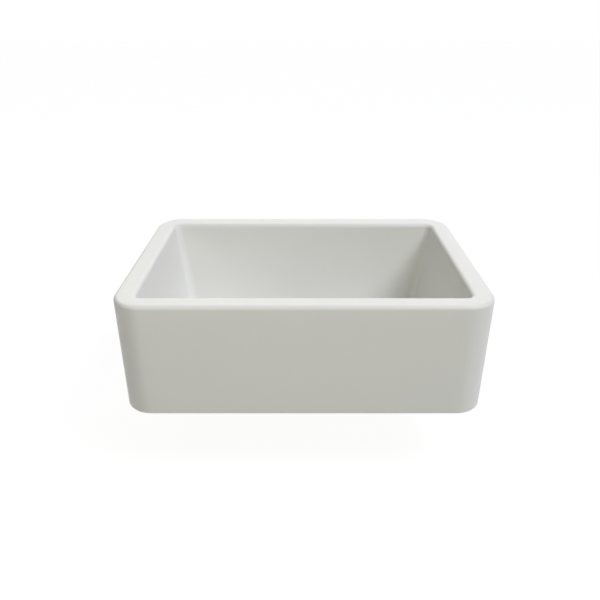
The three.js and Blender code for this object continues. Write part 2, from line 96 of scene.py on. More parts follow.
strainer_low, strainer_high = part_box("strainer_body")
drain_y = (strainer_low.y + strainer_high.y) / 2
hole_radius = 46 * MM
rebate_radius = strainer_high.x + 1.5 * MM
rebate_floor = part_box("flange_gasket")[0].z - seat_gap
drain_seat_radius = 66 * MM
drain_seat_depth = 2.5 * MM

corner_steps = 20
side_steps = 40
fillet_steps = 12
wall_steps = 8
floor_steps = 14
vent_steps = 32
smallest_edge = 0.003 * MM


def rounded_ring(left, right, front, rear, corner, z):
    """A rounded rectangle at one height, anticlockwise from above."""
    centres = [
        (right - corner, rear - corner),
        (left + corner, rear - corner),
        (left + corner, front + corner),
        (right - corner, front + corner),
    ]
    ring = []
    for side in range(4):
        x, y = centres[side]
        for step in range(corner_steps + 1):
            turn = math.radians(90 * (side + step / corner_steps))
            ring.append(Vector((x + corner * math.cos(turn), y + corner * math.sin(turn), z)))
        next_x, next_y = centres[(side + 1) % 4]
        turn = math.radians(90 * (side + 1))
        last = ring[-1]
        following = Vector((next_x + corner * math.cos(turn), next_y + corner * math.sin(turn), z))
        ring += [last.lerp(following, step / side_steps) for step in range(1, side_steps)]
    return ring


def outer_ring(inset, z):
    x = half_width - inset
    y = half_depth - inset
    return rounded_ring(-x, x, -y, y, outer_corner - inset, z)


def bowl_ring(offset, corner, z):
    """A ring of the bowl, offset inwards from where the wall's plane meets the rim."""
    x = half_width - side_rim - offset
    front = -half_depth + front_rim + offset
    rear = half_depth - rear_rim - offset
    return rounded_ring(-x, x, front, rear, corner, z)


def wall_offset(z):
    return (sink_height - z) * math.tan(wall_draft)


def bowl_corner(z):
    share = (sink_height - z) / (sink_height - floor_at_drain - floor_fall)
    return bowl_corner_top + (bowl_corner_foot - bowl_corner_top) * share


def drain_circle(foot, radius, z):
    """A circle about the drain's axis, each point in the direction of one of the wall's foot."""
    circle = []
    for point in foot:
        turn = math.atan2(point.y - drain_y, point.x)
        circle.append(Vector((radius * math.cos(turn), drain_y + radius * math.sin(turn), z)))
    return circle


def basin_rings():
    """Closed stack of rings: up the outside, over the rim, down the bowl, out through the hole."""
    rings = []
    for step in range(fillet_steps + 1):
        turn = math.radians(90 * step / fillet_steps)
        rings.append(outer_ring(base_edge * (1 - math.sin(turn)), base_edge * (1 - math.cos(turn))))
    for step in range(1, wall_steps):
        share = step / wall_steps
        rings.append(outer_ring(0, base_edge + (sink_height - rim_edge - base_edge) * share))
    for step in range(fillet_steps + 1):
        turn = math.radians(90 * step / fillet_steps)
        inset = rim_edge * (1 - math.cos(turn))
        rings.append(outer_ring(inset, sink_height - rim_edge * (1 - math.sin(turn))))

    sweep = math.pi / 2 - wall_draft
    rim_centre = -bowl_edge * (1 - math.sin(wall_draft)) / math.cos(wall_draft)
    for step in range(fillet_steps + 1):
        turn = sweep * step / fillet_steps
        z = sink_height - bowl_edge * (1 - math.cos(turn))
        offset = rim_centre + bowl_edge * math.sin(turn)
        rings.append(bowl_ring(offset, bowl_corner(z) + wall_offset(z) - offset, z))
    foot_top = floor_at_drain + floor_fall + floor_fillet * (1 - math.sin(wall_draft))
    wall_top = rings[-1][0].z
    for step in range(1, wall_steps):
        z = wall_top + (foot_top - wall_top) * step / wall_steps
        rings.append(bowl_ring(wall_offset(z), bowl_corner(z), z))
    foot_drop = sink_height - floor_at_drain - floor_fall - floor_fillet
    foot_centre = (floor_fillet + foot_drop * math.sin(wall_draft)) / math.cos(wall_draft)
    for step in range(fillet_steps + 1):
        turn = sweep * (1 - step / fillet_steps)
        z = floor_at_drain + floor_fall + floor_fillet * (1 - math.cos(turn))
        offset = foot_centre - floor_fillet * math.sin(turn)
        rings.append(bowl_ring(offset, bowl_corner(z) + wall_offset(z) - offset, z))

    foot = rings[-1]
    mouth = drain_circle(foot, rebate_radius + mouth_flat, floor_at_drain)
    for step in range(1, floor_steps):
        share = step / floor_steps
        drop = floor_fall * (1 - math.cos(math.pi * share)) / 2
        level = [outside.lerp(inside, share) for outside, inside in zip(foot, mouth)]
        for point in level:
            point.z = floor_at_drain + floor_fall - drop
        rings.append(level)
    rings.append(mouth)
    for radius, z in [
        (rebate_radius + rebate_edge, floor_at_drain),
        (rebate_radius, floor_at_drain - rebate_edge),
        (rebate_radius, rebate_floor),
        (hole_radius, rebate_floor),
        (hole_radius, drain_seat_depth),
        (drain_seat_radius, drain_seat_depth),
        (drain_seat_radius, 0),
    ]:
        rings.append(drain_circle(foot, radius, z))
    return rings


def loft(rings, looped=True):
    """Vertices and quads over a stack of rings. A looped stack joins its last ring to its first."""
    count = len(rings[0])
    spans = len(rings) if looped else len(rings) - 1
    faces = []
    for low in range(spans):
        high = (low + 1) % len(rings)
        for here in range(count):
            there = (here + 1) % count
            faces.append((
                low * count + here,
                low * count + there,
                high * count + there,
                high * count + here,
            ))
    return [point for ring in rings for point in ring], faces


def new_piece(name, points, faces, sharp_angle=35):
    """A mesh object at the origin, smooth except over edges sharper than the angle in degrees."""
    mesh = bpy.data.meshes.new(name)
    mesh.from_pydata(points, [], faces)
    mesh.update()
    piece = bpy.data.objects.new(name, mesh)
    bpy.context.scene.collection.objects.link(piece)
    shade(piece, sharp_angle)
    return piece


def shade(piece, sharp_angle=35):
    for face in piece.data.polygons:
        face.use_smooth = True
    piece.data.set_sharp_from_angle(angle=math.radians(sharp_angle))


def combine(piece, tool, operation):
    """Cuts a piece with a tool, or joins the two, and deletes the tool."""
    modifier = piece.modifiers.new("combine", "BOOLEAN")
    modifier.object = tool
    modifier.operation = operation
    modifier.solver = "EXACT"
    bake_modifiers(piece)
    bpy.data.objects.remove(tool)


def bake_modifiers(piece):
    """Keeps what the modifiers make as the piece's own plain mesh, without a cut's slivers."""
    evaluated = piece.evaluated_get(bpy.context.evaluated_depsgraph_get())
    piece.data = bpy.data.meshes.new_from_object(evaluated)
    piece.modifiers.clear()
    cleaned = bmesh.new()
    cleaned.from_mesh(piece.data)
    bmesh.ops.dissolve_degenerate(cleaned, edges=cleaned.edges, dist=smallest_edge)
    cleaned.to_mesh(piece.data)
    cleaned.free()


def hollow_walls():
    """The space inside the cast walls. The vents that drain the slip into the underside are cut on
    their own.
    """
    top = sink_height - skin
    behind_bowl = skin / math.cos(wall_draft)
    space = loft([
        outer_ring(skin, base_skin),
        outer_ring(skin, top),
        bowl_ring(wall_offset(top) - behind_bowl, bowl_corner(top) + skin, top),
        bowl_ring(wall_offset(base_skin) - behind_bowl, bowl_corner(base_skin) + skin, base_skin),
    ])
    return new_piece("hollow", *space)


def vent(x, y):
    rings = []
    for z in (-base_skin, 2 * base_skin):
        ring = []
        for step in range(vent_steps):
            turn = 2 * math.pi * step / vent_steps
            across = Vector((vent_radius * math.cos(turn), vent_radius * math.sin(turn), 0))
            ring.append(Vector((x, y, z)) + across)
        rings.append(ring)
    points, faces = loft(rings, looped=False)
    faces.append(tuple(reversed(range(vent_steps))))
    faces.append(tuple(range(vent_steps, 2 * vent_steps)))
    return new_piece("vent", points, faces)


basin = new_piece("basin", *loft(basin_rings()))
combine(basin, hollow_walls(), "DIFFERENCE")
vent_x = half_width - (side_rim + wall_offset(base_skin)) / 2
vent_y = half_depth - vent_inset
for vent_at in ((vent_x, vent_y), (-vent_x, vent_y), (-vent_x, -vent_y), (vent_x, -vent_y)):
    combine(basin, vent(*vent_at), "DIFFERENCE")
shade(basin)


def add(tree, kind, sockets=None, **settings):
    """Adds a node. Each socket named gets a value, or is linked from the output given for it."""
    node = tree.nodes.new(kind)
    for name, value in settings.items():
        setattr(node, name, value)
    for name, value in (sockets or {}).items():
        if isinstance(value, bpy.types.NodeSocket):
            tree.links.new(value, node.inputs[name])
        else:
            node.inputs[name].default_value = value
    return node


def maths(tree, operation, *values):
    return add(tree, "ShaderNodeMath", dict(enumerate(values)), operation=operation).outputs[0]


def noise(tree, place, scale, detail=2.0):
    sockets = {"Vector": place, "Scale": scale, "Detail": detail}
    return add(tree, "ShaderNodeTexNoise", sockets).outputs[0]


def between(tree, value, low, high, start=0.0, end=1.0):
    """Maps a value that goes from start to end to one that goes from low to high."""
    limits = {"Value": value, "From Min": start, "From Max": end, "To Min": low, "To Max": high}
    return add(tree, "ShaderNodeMapRange", limits).outputs[0]


def blended(tree, share, first, second):
    return add(tree, "ShaderNodeMix", {0: share, 6: first, 7: second}, data_type="RGBA").outputs[2]


def bumped(tree, height, distance, under=None):
    """A normal raised by a height, on top of another normal if one is given."""
    sockets = {"Height": height, "Distance": distance}
    if under:
        sockets["Normal"] = under
    return add(tree, "ShaderNodeBump", sockets).outputs[0]


def new_material(name):
    """A node material with its tree and its Principled BSDF."""
    material = bpy.data.materials.new(name)
    material.use_nodes = True
    return material, material.node_tree, material.node_tree.nodes["Principled BSDF"]


def object_place(tree):
    return add(tree, "ShaderNodeTexCoord").outputs["Object"]


def dress(tree, shader, colour, roughness, normal):
    """Gives a shader the colour, roughness and normal that change over the surface."""
    for name, output in (("Base Color", colour), ("Roughness", roughness), ("Normal", normal)):
        tree.links.new(output, shader.inputs[name])


def fireclay_glaze():
    """Satin white glaze with a slight ripple, and bare biscuit on what faces down at the foot."""
    glaze_colour = (0.86, 0.86, 0.835, 1)
    pooled_colour = (0.85, 0.852, 0.83, 1)
    biscuit_colour = (0.7, 0.63, 0.52, 1)
    biscuit_stain = (0.6, 0.52, 0.41, 1)
    biscuit_roughness = 0.9
    foot_height = 4 * MM
    material, tree, shader = new_material("satin_white_glaze")
    given = add(tree, "ShaderNodeTexCoord").outputs
    place = given["Object"]
    glaze = blended(tree, noise(tree, place, 9), glaze_colour, pooled_colour)
    biscuit = blended(tree, noise(tree, place, 35, 5), biscuit_colour, biscuit_stain)

    height = add(tree, "ShaderNodeSeparateXYZ", {0: place}).outputs[2]
    facing = add(tree, "ShaderNodeSeparateXYZ", {0: given["Normal"]}).outputs[2]
    low = maths(tree, "LESS_THAN", height, foot_height)
    down = between(tree, facing, 1, 0, -0.9, -0.7)
    bare = maths(tree, "MULTIPLY", low, down)

    satin = between(tree, noise(tree, place, 40, 3), 0.38, 0.46)
    ripple = bumped(tree, noise(tree, place, 22), 0.12 * MM)
    peel = bumped(tree, noise(tree, place, 300), 0.012 * MM, ripple)
    grain = maths(tree, "MULTIPLY", noise(tree, place, 1500, 4), bare)
    dress(tree, shader, blended(tree, bare, glaze, biscuit),
          between(tree, bare, satin, biscuit_roughness), bumped(tree, grain, 0.1 * MM, peel))
    return material


def fit(piece, material, body, node):
    """Gives a piece its material, and puts it in the place of its node."""
    piece.data.materials.clear()
    piece.data.materials.append(material)
    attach(piece, body)
    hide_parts(node)


fit(basin, fireclay_glaze(), "sink", "sink_basin")

# ==================================================================================================
# The flange gasket. A ring die cut from closed cell foam, laid in the rebate of the basin's floor
# before the strainer goes in. The flange squeezes it, so its edges are round.

turn_steps = 96
on_axis = 0.001 * MM
gasket_low, gasket_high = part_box("flange_gasket")
gasket_bore = 46.2 * MM


def circle(radius, z, steps):
    """Points around the drain's axis at one height, anticlockwise from above."""
    points = []
    for step in range(steps):
        turn = 2 * math.pi * step / steps
        points.append(Vector((radius * math.cos(turn), drain_y + radius * math.sin(turn), z)))
    return points


def turned(name, section, steps=turn_steps, sharp_angle=35):
    """A solid turned about the drain's axis.

    Its section runs up the outside, from axis to axis, or round a ring that is clear of the axis.
    """
    points = []
    rows = []
    for radius, z in section:
        first = len(points)
        if radius < on_axis:
            points.append(Vector((0, drain_y, z)))
            rows.append([first] * steps)
        else:
            points += circle(radius, z, steps)
            rows.append(range(first, first + steps))
    faces = []
    solid_core = section[0][0] < on_axis
    for here in range(len(rows) - 1 if solid_core else len(rows)):
        low = rows[here]
        high = rows[(here + 1) % len(rows)]
        for step in range(steps):
            after = (step + 1) % steps
            faces.append(tuple(dict.fromkeys((low[step], low[after], high[after], high[step]))))
    return new_piece(name, points, faces, sharp_angle)


def softened(section, radius, steps=4):
    """Rounds a section's corners off the axis. A corner may give its own radius after its place."""
    share_of_side = 0.48
    rounded = []
    for index, (across, z, *own) in enumerate(section):
        corner = Vector((across, z))
        before = Vector(section[index - 1][:2]) - corner
        after = Vector(section[(index + 1) % len(section)][:2]) - corner
        turn = math.pi - before.angle(after)
        if across < on_axis or turn < math.radians(1):
            rounded.append((across, z))
            continue
        reach = (own[0] if own else radius) * math.tan(turn / 2)
        reach = min(reach, share_of_side * before.length, share_of_side * after.length)
        start = corner + before.normalized() * reach
        end = corner + after.normalized() * reach
        weight = math.cos(turn / 2)
        for step in range(steps + 1):
            share = step / steps
            parts = ((1 - share) ** 2, 2 * share * (1 - share) * weight, share ** 2)
            point = (start * parts[0] + corner * parts[1] + end * parts[2]) / sum(parts)
            rounded.append((point.x, point.y))
    return rounded


def ring_section(inner, outer, low, high):
    return [(inner, low), (outer, low), (outer, high), (inner, high)]


def plain_ring(name, bore, low, high, rounding, steps=turn_steps):
    """A turned ring that fills its node's box, with its edges rounded."""
    section = ring_section(bore, high.x, low.z, high.z)
    return turned(name, softened(section, rounding), steps)


def closed_cell_foam():
    material, tree, shader = new_material("closed_cell_foam")
    place = object_place(tree)
    cells = add(tree, "ShaderNodeTexVoronoi", {"Vector": place, "Scale": 1600}).outputs["Distance"]
    colour = blended(tree, cells, (0.62, 0.61, 0.57, 1), (0.76, 0.75, 0.71, 1))
    dress(tree, shader, colour, between(tree, cells, 0.95, 0.7), bumped(tree, cells, 0.15 * MM))
    return material


flange_gasket = plain_ring("foam_gasket", gasket_bore, gasket_low, gasket_high, 0.65 * MM)
fit(flange_gasket, closed_cell_foam(), "sink", "flange_gasket")

# ==================================================================================================
# The strainer body. A cup pressed from 1.5 mm stainless sheet, with a flange that laps over the
# gasket, a ledge for the basket's bead, and rolled threads for the locknut and the coupling nut.

sheet = 1.5 * MM
outlet_bore = 20.5 * MM
spigot_radius = 23.6 * MM
cup_radius = 40 * MM
cup_outer = cup_radius + sheet
cup_round = 8 * MM
mouth_radius = 43.2 * MM
flange_top = strainer_high.z
ledge_top = flange_top - 5.8 * MM
sump_floor = flange_top - 61.8 * MM
sump_under = sump_floor - sheet
pipe_pitch = 2.2 * MM
pipe_depth = 0.75 * MM
rows_per_thread = 6
cup_thread = (sump_under + cup_round + 3 * MM, -3.5 * MM)
spigot_thread = (strainer_low.z + 0.8 * MM, sump_under - 1.5 * MM)


def new_tree(name, sizes):
    """A Geometry Nodes tree with named inputs, and the sockets that give them."""
    tree = bpy.data.node_groups.new(name, "GeometryNodeTree")
    tree.interface.new_socket("Geometry", in_out="INPUT", socket_type="NodeSocketGeometry")
    for size, kind in sizes.items():
        tree.interface.new_socket(size, in_out="INPUT", socket_type="NodeSocket" + kind)
    tree.interface.new_socket("Finish", in_out="INPUT", socket_type="NodeSocketMaterial")
    tree.interface.new_socket("Geometry", in_out="OUTPUT", socket_type="NodeSocketGeometry")
    return tree, tree.nodes.new("NodeGroupInput").outputs


def finish_tree(tree, geometry, finish):
    """Ends a tree in plain geometry with its material."""
    real = add(tree, "GeometryNodeRealizeInstances", {"Geometry": geometry}).outputs[0]
    dressed = add(tree, "GeometryNodeSetMaterial", {"Geometry": real, "Material": finish})
    add(tree, "NodeGroupOutput", {0: dressed.outputs[0]})


def thread_tree():
    """Cuts a right-hand thread into a cylinder around the drain's axis."""
    tree, given = new_tree("rolled_thread", dict.fromkeys(
        ("Radius", "Pitch", "Depth", "From", "To", "Axis Y"), "Float"))
    place = add(tree, "GeometryNodeInputPosition").outputs[0]
    x, y, z = add(tree, "ShaderNodeSeparateXYZ", {0: place}).outputs
    y = maths(tree, "SUBTRACT", y, given["Axis Y"])
    outward = add(tree, "ShaderNodeCombineXYZ", {0: x, 1: y}).outputs[0]
    radius = add(tree, "ShaderNodeVectorMath", {0: outward}, operation="LENGTH").outputs["Value"]
    surface = maths(tree, "COMPARE", radius, given["Radius"], 0.05 * MM)

    turns = maths(tree, "DIVIDE", maths(tree, "ARCTAN2", y, x), 2 * math.pi)
    risen = maths(tree, "DIVIDE", z, given["Pitch"])
    phase = maths(tree, "FRACT", maths(tree, "SUBTRACT", risen, turns))
    valley = between(tree, maths(tree, "PINGPONG", phase, 0.5), 0, 1, 0.1, 0.4)
    run_in = maths(tree, "ADD", given["From"], given["Pitch"])
    run_out = maths(tree, "SUBTRACT", given["To"], given["Pitch"])
    started = between(tree, z, 0, 1, given["From"], run_in)
    going = between(tree, z, 1, 0, run_out, given["To"])
    depth = given["Depth"]
    for share in (valley, started, going, surface):
        depth = maths(tree, "MULTIPLY", depth, share)
    inward = maths(tree, "DIVIDE", maths(tree, "MULTIPLY", depth, -1), radius)
    offset = add(tree, "ShaderNodeVectorMath", {0: outward, "Scale": inward}, operation="SCALE")
    moved = add(tree, "GeometryNodeSetPosition", {
        "Geometry": given["Geometry"], "Offset": offset.outputs[0]})
    finish_tree(tree, moved.outputs[0], given["Finish"])
    return tree


def worked(piece, tree, finish, **sizes):
    """Runs a tree on a piece, with its inputs given by name, and keeps the result as plain mesh."""
    sizes["Finish"] = finish
    sizes["Axis_Y"] = drain_y
    modifier = piece.modifiers.new(tree.name, "NODES")
    modifier.node_group = tree
    for socket in tree.interface.items_tree:
        if socket.in_out == "INPUT" and socket.name.replace(" ", "_") in sizes:
            modifier[socket.identifier] = sizes[socket.name.replace(" ", "_")]
    bake_modifiers(piece)


def thread_rows(radius, zone, pitch):
    """Rows of a section that are close enough for a thread to be cut into them."""
    low, high = zone
    count = round((high - low) / pitch * rows_per_thread)
    return [(radius, low + (high - low) * row / count) for row in range(count + 1)]


def turning_group():
    """Shader group: the fine rings that spinning, turning or polishing leaves round the axis."""
    tree = bpy.data.node_groups.new("turning_marks", "ShaderNodeTree")
    for size in ("Density", "Depth", "Axis Y"):
        tree.interface.new_socket(size, in_out="INPUT", socket_type="NodeSocketFloat")
    for result, kind in (("Marks", "Float"), ("Smears", "Float"), ("Normal", "Vector")):
        tree.interface.new_socket(result, in_out="OUTPUT", socket_type="NodeSocket" + kind)
    given = tree.nodes.new("NodeGroupInput").outputs
    place = object_place(tree)
    x, y, z = add(tree, "ShaderNodeSeparateXYZ", {0: place}).outputs
    y = maths(tree, "SUBTRACT", y, given["Axis Y"])
    squares = [maths(tree, "POWER", side, 2) for side in (x, y)]
    radius = maths(tree, "SQRT", maths(tree, "ADD", *squares))
    round_it = add(tree, "ShaderNodeCombineXYZ", {0: radius, 1: z}).outputs[0]
    marks = noise(tree, round_it, given["Density"], 3)
    smears = noise(tree, place, 60, 3)
    raised = bumped(tree, marks, given["Depth"])
    add(tree, "NodeGroupOutput", {"Marks": marks, "Smears": smears, "Normal": raised})
    return tree


turning_marks = turning_group()
cut_thread = thread_tree()


def worked_metal(name, clean, dull, smooth, rough, density, depth):
    """A metal with rings of tool marks: two colours, two roughnesses, marks per metre and depth."""
    material, tree, shader = new_material(name)
    sizes = {"Density": density, "Depth": depth, "Axis Y": drain_y}
    marks = add(tree, "ShaderNodeGroup", sizes, node_tree=turning_marks).outputs
    colour = blended(tree, between(tree, marks["Smears"], 0, 1, 0.35, 0.65), clean, dull)
    wear = maths(tree, "ADD", maths(tree, "MULTIPLY", marks["Marks"], 0.6),
                 maths(tree, "MULTIPLY", marks["Smears"], 0.4))
    dress(tree, shader, colour, between(tree, wear, smooth, rough, 0.3, 0.7), marks["Normal"])
    shader.inputs["Metallic"].default_value = 1
    return material


satin_steel = worked_metal(
    "satin_stainless", clean=(0.56, 0.56, 0.555, 1), dull=(0.5, 0.5, 0.495, 1),
    smooth=0.24, rough=0.4, density=2600, depth=0.02 * MM)

strainer_body = turned("strainer_cup", softened([
    (outlet_bore, strainer_low.z),
    (spigot_radius, strainer_low.z, 0.5 * MM),
    *thread_rows(spigot_radius, spigot_thread, pipe_pitch),
    (spigot_radius, sump_under, 0.8 * MM),
    (cup_outer, sump_under, cup_round + sheet),
    *thread_rows(cup_outer, cup_thread, pipe_pitch),
    (cup_outer, ledge_top - sheet, 0.4 * MM),
    (mouth_radius + sheet, ledge_top - sheet, 1.6 * MM),
    (mouth_radius + sheet, flange_top - sheet, 0.8 * MM),
    (strainer_high.x, flange_top - sheet),
    (strainer_high.x, flange_top, 1.2 * MM),
    (mouth_radius, flange_top, 2 * MM),
    (mouth_radius, ledge_top, 0.6 * MM),
    (cup_radius, ledge_top, 1.2 * MM),
    (cup_radius, sump_floor, cup_round),
    (outlet_bore, sump_floor, 1.4 * MM),
], 0.4 * MM))
for radius, zone in ((cup_outer, cup_thread), (spigot_radius, spigot_thread)):
    worked(strainer_body, cut_thread, satin_steel, Radius=radius, Pitch=pipe_pitch,
           Depth=pipe_depth, From=zone[0], To=zone[1])
shade(strainer_body)
fit(strainer_body, satin_steel, "sink", "strainer_body")

# ==================================================================================================
# The outlet cross. Punched from 2 mm stainless plate and spot welded across the outlet. The stem's
# end runs in its bore, which keeps the stopper in the middle.

cross_low, cross_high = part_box("outlet_cross")
cross_arm = 3.5 * MM
cross_bore = 4 * MM
cross_boss = 8.5 * MM
small_steps = 48


def block(name, low, high):
    """A box from its lowest to its highest corner."""
    rings = []
    for z in (low[2], high[2]):
        corners = ((low[0], low[1]), (high[0], low[1]), (high[0], high[1]), (low[0], high[1]))
        rings.append([Vector((x, y, z)) for x, y in corners])
    points, faces = loft(rings, looped=False)
    return new_piece(name, points, faces + [(3, 2, 1, 0), (4, 5, 6, 7)])


def bevelled(piece, width, steps=2, edge_angle=40):
    """Rounds a piece's sharp edges."""
    modifier = piece.modifiers.new("bevel", "BEVEL")
    modifier.width = width
    modifier.segments = steps
    modifier.limit_method = "ANGLE"
    modifier.angle_limit = math.radians(edge_angle)
    modifier.use_clamp_overlap = True
    modifier.harden_normals = False
    bake_modifiers(piece)
    shade(piece, edge_angle)


def rod(name, radius, low, high):
    """A plain cylinder on the drain's axis."""
    return turned(name, [(0, low), (radius, low), (radius, high), (0, high)], small_steps)


outlet_cross = block("stem_guide", (cross_low.x, drain_y - cross_arm / 2, cross_low.z),
                     (cross_high.x, drain_y + cross_arm / 2, cross_high.z))
combine(outlet_cross, block("arm", (-cross_arm / 2, cross_low.y, cross_low.z),
                            (cross_arm / 2, cross_high.y, cross_high.z)), "UNION")
combine(outlet_cross, rod("boss", cross_boss, cross_low.z, cross_high.z), "UNION")
cross_hole = rod("bore", cross_bore, cross_low.z - sheet, cross_high.z + sheet)
combine(outlet_cross, cross_hole, "DIFFERENCE")
bevelled(outlet_cross, 0.3 * MM)
fit(outlet_cross, satin_steel, "sink", "outlet_cross")

# ==================================================================================================
# The clamp under the basin: a moulded rubber ring, a fibre ring that lets the nut turn on it, and
# the locknut, cast in zinc with six lugs for a spanner or a screwdriver and hammer.

clamp_bore = cup_outer + seat_gap
rubber_low, rubber_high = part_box("under_gasket")
fibre_low, fibre_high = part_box("friction_ring")
nut_low, nut_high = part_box("locknut")
nut_radius = 54 * MM
lug_count = 6
lug_width = 11 * MM
lug_root = 3 * MM
nut_edge = 0.8 * MM
nut_step = 2.4 * MM
hole_sides = 20


def moulded_rubber():
    material, tree, shader = new_material("moulded_rubber")
    place = object_place(tree)
    bloom = between(tree, noise(tree, place, 45, 4), 0, 1, 0.4, 0.75)
    colour = blended(tree, bloom, (0.018, 0.018, 0.019, 1), (0.045, 0.044, 0.042, 1))
    skin_grain = bumped(tree, noise(tree, place, 1400, 3), 0.02 * MM)
    dress(tree, shader, colour, between(tree, bloom, 0.5, 0.72), skin_grain)
    return material


def pressed_fibre():
    material, tree, shader = new_material("pressed_fibre")
    place = object_place(tree)
    stretch = add(tree, "ShaderNodeMapping", {"Vector": place, "Scale": (1, 7, 1)}).outputs[0]
    fibres = noise(tree, stretch, 260, 5)
    colour = blended(tree, fibres, (0.2, 0.1, 0.045, 1), (0.43, 0.27, 0.16, 1))
    dress(tree, shader, colour, between(tree, fibres, 0.9, 0.7), bumped(tree, fibres, 0.08 * MM))
    return material


def cast_zinc():
    material, tree, shader = new_material("cast_zinc")
    place = object_place(tree)
    sand = noise(tree, place, 700, 4)
    patches = between(tree, noise(tree, place, 55, 4), 0, 1, 0.35, 0.65)
    colour = blended(tree, patches, (0.4, 0.41, 0.42, 1), (0.3, 0.31, 0.325, 1))
    dress(tree, shader, colour, between(tree, patches, 0.42, 0.58), bumped(tree, sand, 0.05 * MM))
    shader.inputs["Metallic"].default_value = 1
    return material


def ring_tree(name, operation):
    """Joins a ring of blocks round the drain's axis to a piece, or drills a ring of holes in it."""
    sizes = ("Ring Radius", "Height", "Turn", "Tilt", "Across", "Length", "Depth", "Axis Y")
    tree, given = new_tree(name, {"Count": "Int", **dict.fromkeys(sizes, "Float")})
    ring = add(tree, "GeometryNodeMeshCircle", {
        "Vertices": given["Count"], "Radius": given["Ring Radius"]})
    if operation == "UNION":
        size = add(tree, "ShaderNodeCombineXYZ", {
            0: given["Length"], 1: given["Across"], 2: given["Depth"]})
        tool = add(tree, "GeometryNodeMeshCube", {"Size": size.outputs[0]}).outputs[0]
    else:
        tool = add(tree, "GeometryNodeMeshCylinder", {
            "Vertices": hole_sides, "Radius": given["Across"],
            "Depth": given["Length"]}).outputs[0]
    tilt = add(tree, "ShaderNodeCombineXYZ", {1: given["Tilt"]}).outputs[0]
    tool = add(tree, "GeometryNodeTransform", {"Geometry": tool, "Rotation": tilt}).outputs[0]
    position = add(tree, "GeometryNodeInputPosition").outputs[0]
    x, y, z = add(tree, "ShaderNodeSeparateXYZ", {0: position}).outputs
    outward = add(tree, "ShaderNodeCombineXYZ", {2: maths(tree, "ARCTAN2", y, x)}).outputs[0]
    tools = add(tree, "GeometryNodeInstanceOnPoints", {
        "Points": ring.outputs[0], "Instance": tool, "Rotation": outward}).outputs[0]
    middle = add(tree, "ShaderNodeCombineXYZ", {1: given["Axis Y"], 2: given["Height"]}).outputs[0]
    start = add(tree, "ShaderNodeCombineXYZ", {2: given["Turn"]}).outputs[0]
    tools = add(tree, "GeometryNodeTransform", {
        "Geometry": tools, "Translation": middle, "Rotation": start}).outputs[0]
    worked_on = add(
        tree, "GeometryNodeMeshBoolean", {"Mesh 2": tools}, operation=operation, solver="EXACT")
    target = "Mesh 2" if operation == "UNION" else "Mesh 1"
    tree.links.new(given["Geometry"], worked_on.inputs[target])
    finish_tree(tree, worked_on.outputs[0], given["Finish"])
    return tree


rubber = moulded_rubber()
under_gasket = plain_ring("clamp_gasket", clamp_bore, rubber_low, rubber_high, 1.3 * MM)
fit(under_gasket, rubber, "sink", "under_gasket")

friction_ring = plain_ring("fibre_ring", clamp_bore, fibre_low, fibre_high, 0.2 * MM)
fit(friction_ring, pressed_fibre(), "sink", "friction_ring")

zinc = cast_zinc()
locknut = turned("cast_locknut", [
    (clamp_bore + nut_edge, nut_low.z),
    (nut_radius - nut_step, nut_low.z),
    (nut_radius - nut_step, nut_low.z + 2.6 * MM),
    (nut_radius, nut_low.z + 4.2 * MM),
    (nut_radius, nut_high.z),
    (clamp_bore + nut_edge, nut_high.z),
    (clamp_bore, nut_high.z - nut_edge),
    (clamp_bore, nut_low.z + nut_edge),
])
lug_length = nut_high.x - nut_radius + lug_root
worked(locknut, ring_tree("ring_of_lugs", "UNION"), zinc, Count=lug_count,
       Ring_Radius=nut_high.x - lug_length / 2, Height=(nut_low.z + nut_high.z) / 2, Turn=0.0,
       Tilt=0.0, Across=lug_width, Length=lug_length, Depth=nut_high.z - nut_low.z)
bevelled(locknut, 0.7 * MM, 3, 30)
fit(locknut, zinc, "sink", "locknut")

# ==================================================================================================
# The tailpiece, a flanged brass tube with chrome plating, and the nylon washer that seals it to the
# outlet. The coupling nut, turned from hexagon brass bar, draws both up against the strainer.

tail_low, tail_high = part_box("tailpiece")
washer_low, washer_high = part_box("tailpiece_washer")
coupling_low, coupling_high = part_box("coupling_nut")
tail_radius = 19.05 * MM
tail_wall = 1 * MM
tail_flange = 1.2 * MM
washer_thickness = 2.3 * MM
skirt_outer = tail_radius - tail_wall - seat_gap
skirt_wall = 1.05 * MM
coupling_bore = spigot_radius + seat_gap
coupling_flats = coupling_bore + 3.6 * MM
coupling_lip = tail_high.z - tail_flange - seat_gap


def white_nylon():
    material, tree, shader = new_material("white_nylon")
    place = object_place(tree)
    cloud = noise(tree, place, 80, 3)
    colour = blended(tree, cloud, (0.8, 0.79, 0.74, 1), (0.74, 0.73, 0.67, 1))
    grain = bumped(tree, noise(tree, place, 900, 2), 0.01 * MM)
    dress(tree, shader, colour, between(tree, cloud, 0.35, 0.5), grain)
    shader.inputs["Subsurface Weight"].default_value = 0.15
    shader.inputs["Subsurface Radius"].default_value = (0.002, 0.002, 0.0015)
    return material


def hexagon_bar(name, flats, low, high, bevel):
    """A length of hexagon bar with corners on the Y axis, its ends turned down to a cone."""
    corner = flats / math.cos(math.pi / 6)
    rings = []
    for z in (low, high):
        ring = []
        for side in range(6):
            turn = math.radians(90 + 60 * side)
            ring.append(Vector((corner * math.cos(turn), drain_y + corner * math.sin(turn), z)))
        rings.append(ring)
    points, faces = loft(rings, looped=False)
    bar = new_piece(name, points, faces + [tuple(range(5, -1, -1)), tuple(range(6, 12))])
    combine(bar, turned("cone", [
        (0, low),
        (flats - 0.2 * bevel, low),
        (corner, low + bevel),
        (corner, high - bevel),
        (flats - 0.2 * bevel, high),
        (0, high),
    ], turn_steps), "INTERSECT")
    return bar


